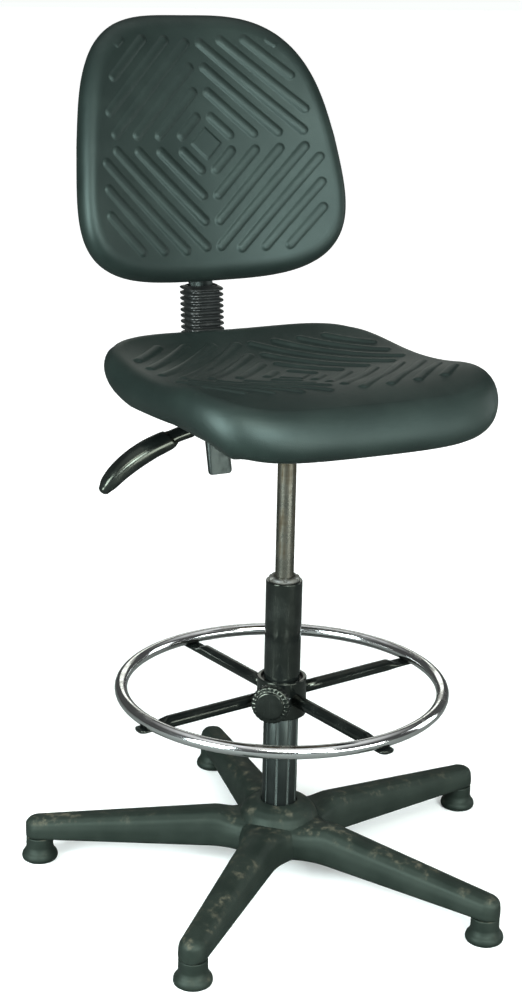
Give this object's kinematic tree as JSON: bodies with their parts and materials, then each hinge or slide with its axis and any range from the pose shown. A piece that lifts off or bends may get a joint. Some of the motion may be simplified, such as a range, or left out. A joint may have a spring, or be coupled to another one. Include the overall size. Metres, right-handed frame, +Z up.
{
  "type": "drafting chair",
  "caption": "Tall swivel work chair with moulded saddle seat and backrest, gas lift column, sliding chrome foot ring and star base on glides.",
  "frame": {"origin": "on the floor, in the middle of the chair's plan at rest", "axes": "+Z up, the sitter faces -Y, +X to the sitter's left"},
  "size_m": [0.6884, 0.7048, 1.1576],
  "materials": {
    "moulded_nylon": "matte moulded nylon, scuffed",
    "moulded_foam": "self-skinned polyurethane foam, fine satin grain",
    "glossy_plastic": "gloss black plastic and enamel",
    "black_paint": "satin black paint",
    "chrome": "bright chrome plate",
    "worn_steel": "ground steel with handling marks",
    "zinc": "zinc plated",
    "soft_rubber": "soft glossy rubber",
    "grey_acetal": "natural grey acetal",
    "birch_board": "birch plywood"
  },
  "bodies": {
    "base": {"base_star": "moulded_nylon", "glide_1": "moulded_nylon", "glide_2": "moulded_nylon", "glide_3": "moulded_nylon", "glide_4": "moulded_nylon", "glide_5": "moulded_nylon", "glide_stem_1": "zinc", "glide_stem_2": "zinc", "glide_stem_3": "zinc", "glide_stem_4": "zinc", "glide_stem_5": "zinc", "fluted_column": "black_paint", "upper_sleeve": "glossy_plastic", "guide_bushing": "grey_acetal", "thrust_bearing": "zinc"},
    "gas_rod_body": {"gas_rod": "worn_steel"},
    "seat": {"gas_cylinder": "worn_steel", "cylinder_gland": "grey_acetal", "taper_socket": "black_paint", "mechanism_housing": "black_paint", "seat_plate": "black_paint", "seat_board": "birch_board", "seat_pad": "moulded_foam", "seat_screw_1": "zinc", "seat_screw_2": "zinc", "seat_screw_3": "zinc", "seat_screw_4": "zinc", "tilt_shaft": "zinc", "lever_bracket": "zinc", "lever_pin": "zinc"},
    "height_lever": {"lever_arm": "zinc", "lever_grip": "glossy_plastic"},
    "valve": {"valve_button": "zinc"},
    "back_carrier": {"back_arm": "black_paint", "bar_socket": "black_paint", "bellows": "soft_rubber"},
    "backrest": {"back_bar": "black_paint", "back_block": "moulded_nylon", "back_pad": "moulded_foam", "back_screw_1": "zinc", "back_screw_2": "zinc"},
    "back_clamp": {"back_knob": "glossy_plastic", "back_knob_stud": "zinc"},
    "foot_rest": {"foot_ring": "chrome", "spoke_1": "glossy_plastic", "spoke_2": "glossy_plastic", "spoke_3": "glossy_plastic", "spoke_4": "glossy_plastic", "ring_hub": "glossy_plastic", "ring_bushing": "grey_acetal"},
    "ring_clamp": {"ring_knob": "glossy_plastic", "ring_knob_stud": "zinc"}
  },
  "joints": [
    {"name": "seat_swivel", "type": "hinge", "parent": "base", "child": "gas_rod_body", "pos_m": [-0.016, -0.0251, 0.044], "axis": [0, 0, 1], "continuous": true},
    {"name": "seat_height", "type": "slide", "parent": "gas_rod_body", "child": "seat", "axis": [0, 0, 1], "range_m": [-0.155, 0.009]},
    {"name": "height_lever_lift", "type": "hinge", "parent": "seat", "child": "height_lever", "pos_m": [-0.058, -0.0141, 0.641], "axis": [0, 1, 0], "range_deg": [0, 5], "stiffness_Nm_per_rad": 3, "springref_deg": -5.73},
    {"name": "valve_press", "type": "slide", "parent": "seat", "child": "valve", "axis": [0, 0, 1], "range_m": [-0.0052, 0]},
    {"name": "back_tilt", "type": "hinge", "parent": "seat", "child": "back_carrier", "pos_m": [-0.016, 0.1249, 0.628], "axis": [1, 0, 0], "range_deg": [-12, 4]},
    {"name": "back_height", "type": "slide", "parent": "back_carrier", "child": "backrest", "axis": [0, 0.277, 0.9609], "range_m": [-0.015, 0.04], "deforming": ["bellows"]},
    {"name": "back_clamp_turn", "type": "hinge", "parent": "back_carrier", "child": "back_clamp", "pos_m": [-0.016, 0.21814, 0.63731], "axis": [0, 0.9609, -0.277], "continuous": true},
    {"name": "foot_ring_height", "type": "slide", "parent": "base", "child": "foot_rest", "axis": [0, 0, 1], "range_m": [-0.115, 0]},
    {"name": "ring_clamp_turn", "type": "hinge", "parent": "foot_rest", "child": "ring_clamp", "pos_m": [-0.016, -0.0251, 0.2704], "axis": [-0.6428, -0.766, 0], "continuous": true}
  ],
  "couplings": [
    {"joint": "valve_press", "follows": "height_lever_lift", "m_per_rad": -0.055}
  ]
}
